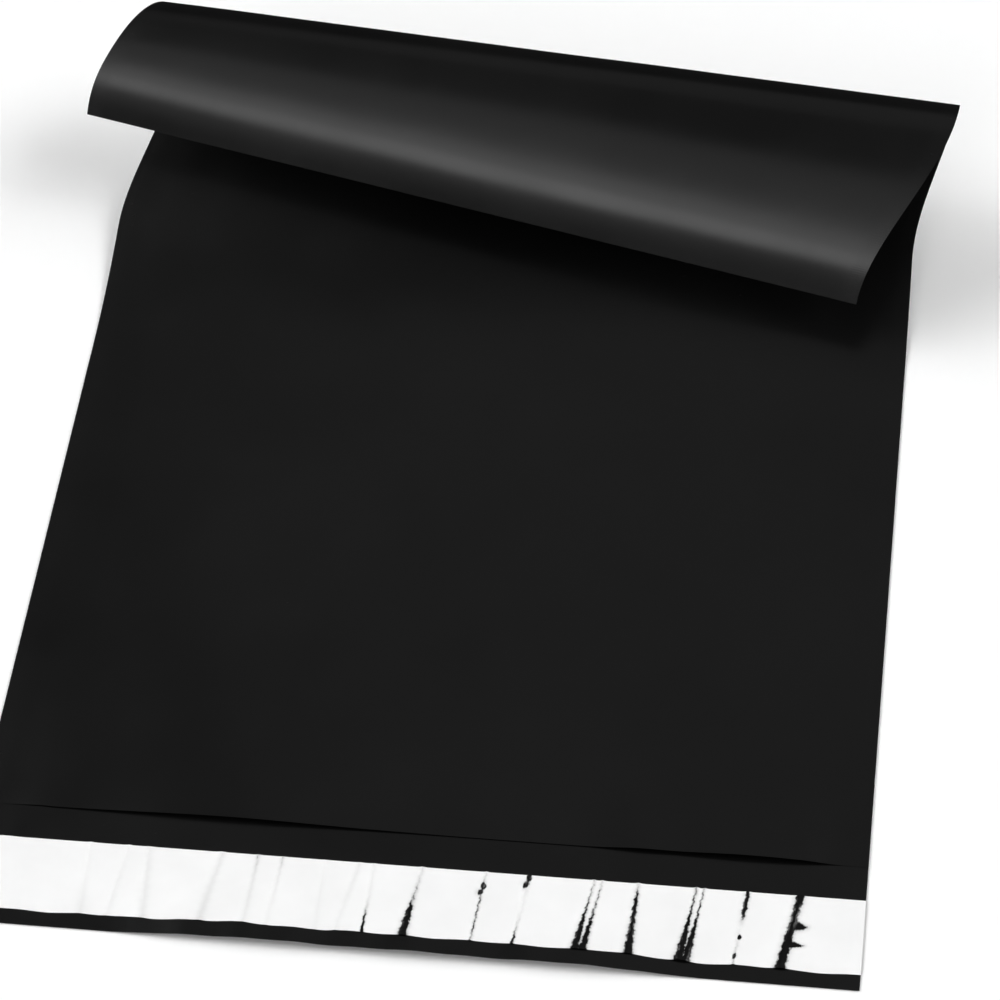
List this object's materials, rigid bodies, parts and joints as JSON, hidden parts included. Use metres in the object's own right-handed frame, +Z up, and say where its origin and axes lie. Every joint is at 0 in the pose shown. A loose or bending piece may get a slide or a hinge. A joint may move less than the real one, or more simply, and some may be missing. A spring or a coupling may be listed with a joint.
{
  "type": "poly mailer bag",
  "caption": "Flat black film mailing bag on its back, with a lip under a white release liner and its folded far end curled back over it.",
  "frame": {"origin": "on the flat underside, at mid-width, 120 mm in from the lip's edge", "axes": "+X across the bag, +Y along it from the lip towards the folded far end, +Z up from the table"},
  "size_m": [0.2765, 0.311, 0.0516],
  "materials": {
    "film": "smooth black co-extruded polyethylene film with a soft satin gloss",
    "adhesive": "clear hot-melt adhesive, tacky and glossy",
    "liner": "white coated release liner, puckered and creased"
  },
  "bodies": {
    "root": {"bag_film": "film", "adhesive_band": "adhesive", "release_liner": "liner"}
  },
  "joints": []
}
